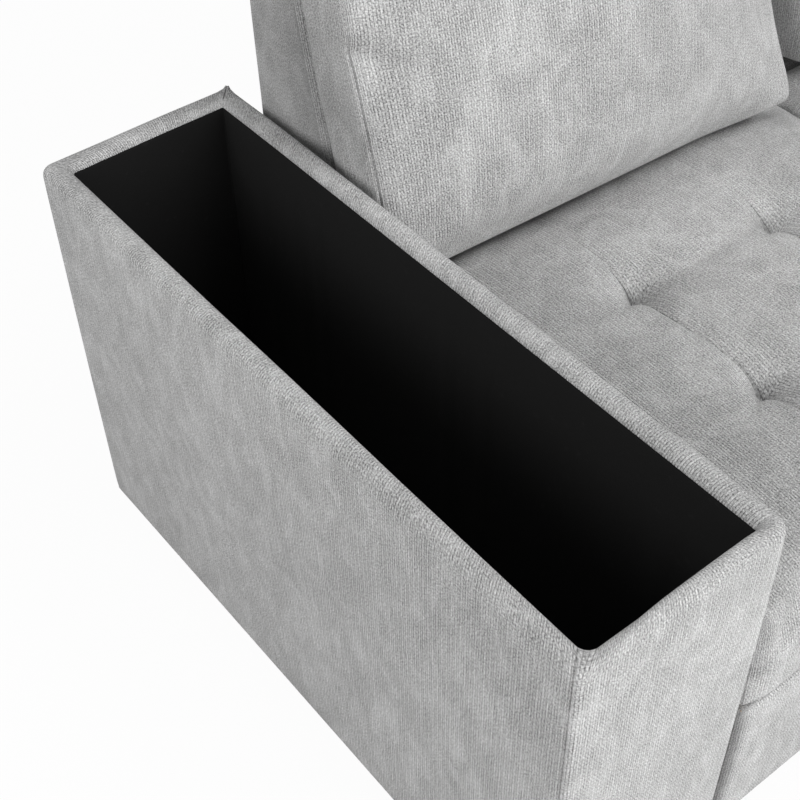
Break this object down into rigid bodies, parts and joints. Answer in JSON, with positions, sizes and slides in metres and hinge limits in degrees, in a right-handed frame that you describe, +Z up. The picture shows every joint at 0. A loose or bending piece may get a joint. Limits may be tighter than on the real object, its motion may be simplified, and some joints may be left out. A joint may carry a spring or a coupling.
{
  "type": "corner sofa bed",
  "caption": "Grey corner sofa bed with open storage arms, tufted seats, loose back cushions, a pull-out bed under the seat and a storage chaise.",
  "frame": {"origin": "on the floor under the middle of the sofa's outline", "axes": "+Z up, -Y towards the front, +X to the sitter's left seen from the front, where the chaise is"},
  "size_m": [2.579, 1.48, 0.8878],
  "materials": {
    "upholstery": "ribbed chenille",
    "lining": "black nonwoven cloth",
    "plywood": "raw plywood",
    "pine": "planed pine",
    "zinc_steel": "zinc plated",
    "black_steel": "black gloss paint",
    "chrome": "polished",
    "black_plastic": "moulded",
    "wheel_plastic": "moulded"
  },
  "bodies": {
    "sofa_frame": {"left_arm_cover": "upholstery", "left_arm_lining": "lining", "left_arm_base_board": "plywood", "left_arm_side_boards": "plywood", "left_arm_end_boards": "plywood", "left_seat_cushion": "upholstery", "right_arm_cover": "upholstery", "right_arm_lining": "lining", "right_arm_base_board": "plywood", "right_arm_side_boards": "plywood", "right_arm_end_boards": "plywood", "right_seat_cushion": "upholstery", "sofa_back_cover": "upholstery", "chaise_back_cover": "upholstery", "chaise_cover": "upholstery", "chaise_rear_cushion": "upholstery", "chaise_lining": "lining", "sofa_base_boards": "plywood", "chaise_bottom_board": "plywood", "chaise_side_boards": "plywood", "chaise_end_boards": "plywood", "chaise_rear_deck": "plywood", "seat_long_rails": "pine", "seat_cross_rails": "pine", "bed_guide_battens": "pine", "sofa_back_rails": "pine", "sofa_back_posts": "pine", "chaise_back_rails": "pine", "chaise_back_posts": "pine", "seat_springs": "zinc_steel", "lid_hinge_fixed_leaf": "zinc_steel", "lid_hinge_pin": "zinc_steel", "gas_spring_box_brackets": "zinc_steel", "module_connectors": "zinc_steel", "feet": "black_plastic"},
    "bed": {"bed_front_board": "plywood", "bed_front_cover": "upholstery", "bed_long_rails": "pine", "bed_cross_rails": "pine", "bed_wheel_brackets": "zinc_steel", "bed_wheel_axles": "zinc_steel", "platform_battens": "pine", "platform_board": "plywood", "platform_cushion": "upholstery", "lift_arms": "zinc_steel", "lift_pins": "zinc_steel", "lift_springs": "zinc_steel"},
    "front_castors": {"front_bed_wheels": "wheel_plastic"},
    "rear_castors": {"rear_bed_wheels": "wheel_plastic"},
    "chaise_lid": {"chaise_lid_board": "plywood", "chaise_lid_cushion": "upholstery", "lid_hinge_moving_leaf": "zinc_steel", "gas_spring_lid_brackets": "zinc_steel"},
    "left_strut_cylinder": {"left_gas_cylinder": "black_steel"},
    "right_strut_cylinder": {"right_gas_cylinder": "black_steel"},
    "left_strut_rod": {"left_gas_rod": "chrome"},
    "right_strut_rod": {"right_gas_rod": "chrome"},
    "left_cushion": {"left_back_cushion": "upholstery"},
    "middle_cushion": {"middle_back_cushion": "upholstery"},
    "chaise_cushion": {"chaise_back_cushion": "upholstery"}
  },
  "joints": [
    {"name": "bed_slide", "type": "slide", "parent": "sofa_frame", "child": "bed", "axis": [0, -1, 0], "range_m": [0, 0.62]},
    {"name": "front_castor_spin", "type": "hinge", "parent": "bed", "child": "front_castors", "pos_m": [-0.3465, -0.005, 0.025], "axis": [1, 0, 0], "range_deg": [0, 1422.9]},
    {"name": "rear_castor_spin", "type": "hinge", "parent": "bed", "child": "rear_castors", "pos_m": [-0.3465, 0.545, 0.025], "axis": [1, 0, 0], "range_deg": [0, 1422.9]},
    {"name": "lid_hinge", "type": "hinge", "parent": "sofa_frame", "child": "chaise_lid", "pos_m": [0.6915, 0.403, 0.392], "axis": [-1, 0, 0], "range_deg": [0, 45]},
    {"name": "left_cylinder_pivot", "type": "hinge", "parent": "sofa_frame", "child": "left_strut_cylinder", "pos_m": [0.4025, 0.30464, 0.077], "axis": [-1, 0, 0], "range_deg": [-1, 23.5]},
    {"name": "left_rod_pivot", "type": "hinge", "parent": "chaise_lid", "child": "left_strut_rod", "pos_m": [0.4025, 0.10656, 0.247], "axis": [-1, 0, 0], "range_deg": [-23.5, 1]},
    {"name": "right_cylinder_pivot", "type": "hinge", "parent": "sofa_frame", "child": "right_strut_cylinder", "pos_m": [0.9805, 0.30464, 0.077], "axis": [-1, 0, 0], "range_deg": [-1, 23.5]},
    {"name": "right_rod_pivot", "type": "hinge", "parent": "chaise_lid", "child": "right_strut_rod", "pos_m": [0.9805, 0.10656, 0.247], "axis": [-1, 0, 0], "range_deg": [-23.5, 1]},
    {"name": "left_cushion_lift", "type": "slide", "parent": "sofa_frame", "child": "left_cushion", "axis": [0, 0, 1], "range_m": [0, 0.3]},
    {"name": "middle_cushion_lift", "type": "slide", "parent": "sofa_frame", "child": "middle_cushion", "axis": [0, 0, 1], "range_m": [0, 0.3]},
    {"name": "chaise_cushion_lift", "type": "slide", "parent": "sofa_frame", "child": "chaise_cushion", "axis": [0, 0, 1], "range_m": [0, 0.3]}
  ],
  "couplings": [
    {"joint": "front_castor_spin", "follows": "bed_slide", "rad_per_m": 40},
    {"joint": "rear_castor_spin", "follows": "bed_slide", "rad_per_m": 40},
    {"joint": "left_cylinder_pivot", "follows": "lid_hinge", "ratio": 0.5},
    {"joint": "left_rod_pivot", "follows": "lid_hinge", "ratio": -0.5},
    {"joint": "right_cylinder_pivot", "follows": "lid_hinge", "ratio": 0.5},
    {"joint": "right_rod_pivot", "follows": "lid_hinge", "ratio": -0.5}
  ]
}
